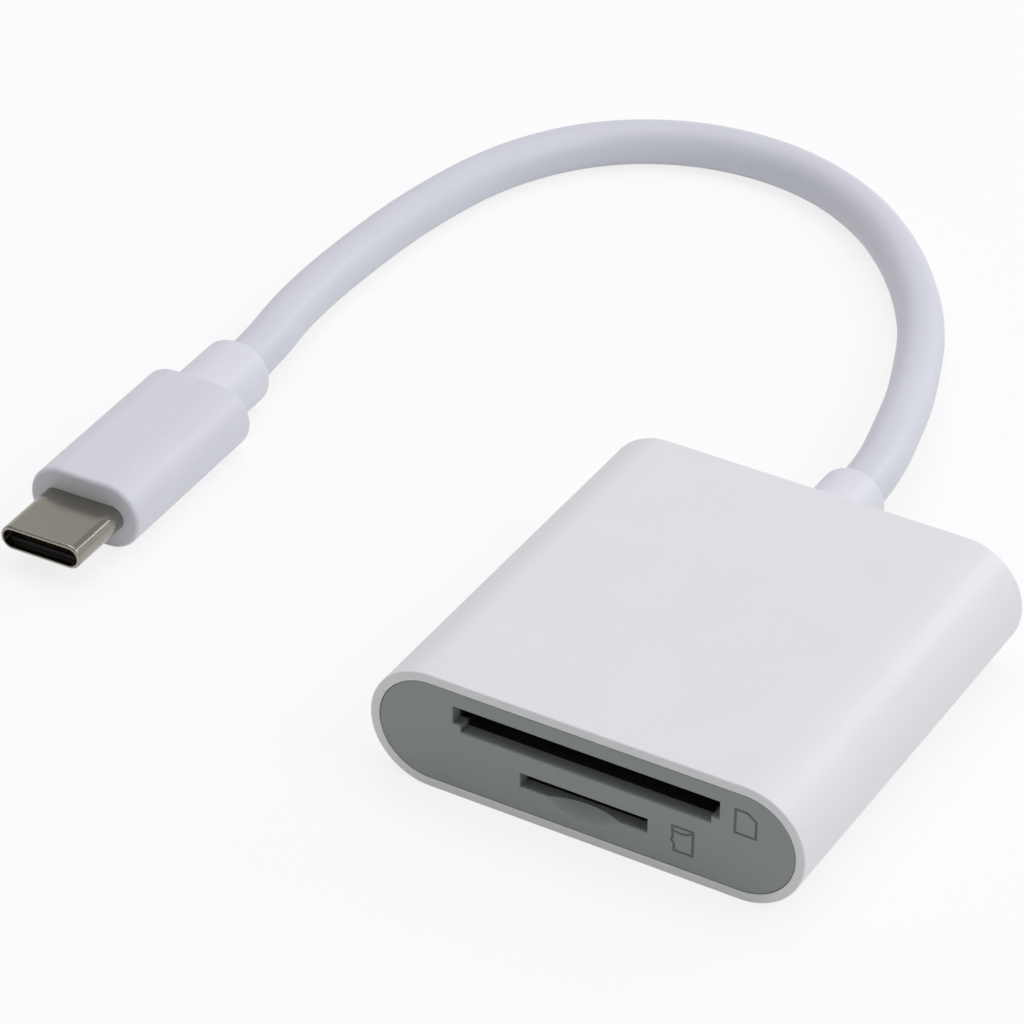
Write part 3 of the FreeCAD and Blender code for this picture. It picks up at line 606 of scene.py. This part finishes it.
# Cable: a round jacket of soft white plastic, extruded over the wires, about 150 mm long.
# It leaves the rear strain relief, comes down to the floor and loops round to the plug.
# The route is in millimetres, and it runs straight for a little before it enters the collar.
cable_radius = 2.25
straight_lead = 4.0 * MM
lead_in = plug_lay @ Vector((0, collar_end + straight_lead, 0)) / MM
lead_end = plug_lay @ Vector((0, collar_end, 0)) / MM
cable_route = [
    (0, 28.5, 5.65),
    (0, 33.2, 5.65),
    (-2.2, 42.2, 4.9),
    (-4.6, 50.1, 3.3),
    (-10.1, 64.2, cable_radius),
    (-20.0, 76.5, cable_radius),
    (-31.0, 82.7, cable_radius),
    (-42.5, 83.1, cable_radius),
    (-52.4, 78.1, cable_radius),
    (-58.8, 68.8, cable_radius),
    (-61.6, 56.2, cable_radius),
    (-62.3, 43.5, cable_radius),
    (-61.7, 33.7, 2.7),
    tuple(lead_in),
    tuple(lead_end),
]
cable_line = bpy.data.curves.new("cable_jacket", "CURVE")
cable_line.dimensions = "3D"
cable_line.bevel_depth = cable_radius * MM
cable_line.bevel_resolution = 10
cable_line.use_fill_caps = True
spline = cable_line.splines.new("NURBS")
spline.points.add(len(cable_route) - 1)
for point, place in zip(spline.points, cable_route):
    point.co = (*(Vector(place) * MM), 1)
spline.order_u = 3
spline.use_endpoint_u = True
spline.resolution_u = 16
jacket_white = grained_finish(
    "jacket_white", (0.626, 0.637, 0.678), roughness=0.44, grain=0.25 * MM, depth=0.002 * MM
)
cable_line.materials.append(jacket_white)
cable = bpy.data.objects.new("cable_jacket", cable_line)
bpy.context.scene.collection.objects.link(cable)
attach(cable, "root")
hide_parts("cable")

# Floor: a wide pale sweep that turns up into a low wall all round, as a studio table does.
# It looks white and keeps a soft shadow of the reader.
sweep_radius = 2.4
sweep_bend = 0.4
sweep_height = 0.9
sweep_sides = 96
bend_steps = 8
hub_radius = 0.02
middle_radius = 0.3
flat_radius = sweep_radius - sweep_bend
sweep_profile = [(hub_radius, 0), (middle_radius, 0), (flat_radius, 0)]
for step in range(1, bend_steps + 1):
    angle = math.pi / 2 * step / bend_steps
    bend_radius = flat_radius + sweep_bend * math.sin(angle)
    bend_level = sweep_bend - sweep_bend * math.cos(angle)
    sweep_profile.append((bend_radius, bend_level))
sweep_profile.append((sweep_radius, sweep_height))
turns = [2 * math.pi * step / sweep_sides for step in range(sweep_sides)]
sweep_form = bmesh.new()
sweep_loops = []
for radius, level in sweep_profile:
    sweep_loops.append([
        sweep_form.verts.new((radius * math.cos(turn), radius * math.sin(turn), level)) for turn in turns
    ])
sweep_form.faces.new(sweep_loops[0])
for first, second in zip(sweep_loops[:-1], sweep_loops[1:]):
    for index in range(sweep_sides):
        sweep_form.faces.new((first[index - 1], second[index - 1], second[index], first[index]))
sweep_mesh = bpy.data.meshes.new("floor")
sweep_form.to_mesh(sweep_mesh)
sweep_form.free()
sweep_mesh.shade_smooth()
floor = bpy.data.objects.new("floor", sweep_mesh)
bpy.context.scene.collection.objects.link(floor)
white_share = 0.8
floor_paint = bpy.data.materials.new("floor_paint")
floor_paint.use_nodes = True
paint_nodes = floor_paint.node_tree.nodes
paint_links = floor_paint.node_tree.links
paint_nodes.clear()
paint_out = paint_nodes.new("ShaderNodeOutputMaterial")
matt = paint_nodes.new("ShaderNodeBsdfDiffuse")
matt.inputs["Color"].default_value = (0.88, 0.88, 0.89, 1)
white = paint_nodes.new("ShaderNodeEmission")
white.inputs["Strength"].default_value = 1
rays = paint_nodes.new("ShaderNodeLightPath")
seen = paint_nodes.new("ShaderNodeMath")
seen.operation = "MAXIMUM"
clear_view = paint_nodes.new("ShaderNodeMath")
clear_view.operation = "MAXIMUM"
share = paint_nodes.new("ShaderNodeMath")
share.operation = "MULTIPLY"
share.inputs[1].default_value = white_share
blend = paint_nodes.new("ShaderNodeMixShader")
paint_links.new(rays.outputs["Is Camera Ray"], seen.inputs[0])
paint_links.new(rays.outputs["Is Glossy Ray"], seen.inputs[1])
paint_links.new(seen.outputs["Value"], clear_view.inputs[0])
paint_links.new(rays.outputs["Is Transmission Ray"], clear_view.inputs[1])
paint_links.new(clear_view.outputs["Value"], share.inputs[0])
paint_links.new(share.outputs["Value"], blend.inputs["Fac"])
paint_links.new(matt.outputs["BSDF"], blend.inputs[1])
paint_links.new(white.outputs["Emission"], blend.inputs[2])
paint_links.new(blend.outputs["Shader"], paint_out.inputs["Surface"])
sweep_mesh.materials.append(floor_paint)


# Studio light: a large softbox overhead, smaller ones at the right and behind, and a dim surround.
# Together they give the top of the reader the colour that its plastic has.
def softbox(name, place, aim, size, power, colour):
    """A square lamp at a place, turned to a point."""
    lamp_data = bpy.data.lights.new(name, "AREA")
    lamp_data.shape = "SQUARE"
    lamp_data.size = size
    lamp_data.energy = power
    lamp_data.color = colour
    lamp = bpy.data.objects.new(name, lamp_data)
    lamp.location = place
    lamp.rotation_euler = (Vector(place) - Vector(aim)).to_track_quat("Z", "Y").to_euler()
    bpy.context.scene.collection.objects.link(lamp)


reader_middle = (-0.02, 0.03, 0.005)
plug_side = (-0.05, 0, 0)
softbox("overhead", (-0.05, 0.15, 0.9), reader_middle, size=0.9, power=4.0, colour=(1.05, 1.0, 1.18))
softbox("right_side", (0.55, 0.1, 0.55), reader_middle, size=0.4, power=1.74, colour=(0.99, 1.0, 1.08))
softbox("back_right", (0.35, 0.85, 0.45), reader_middle, size=0.3, power=1.2, colour=(1.0, 1.0, 1.1))
softbox("back_left", (-0.43, 0.64, 0.5), plug_side, size=0.5, power=0.29, colour=(1.0, 1.0, 1.1))
world = bpy.data.worlds.new("surround")
world.use_nodes = True
world.node_tree.nodes["Background"].inputs["Color"].default_value = (0.344, 0.355, 0.316, 1)
bpy.context.scene.world = world
bpy.context.scene.view_settings.view_transform = "Standard"
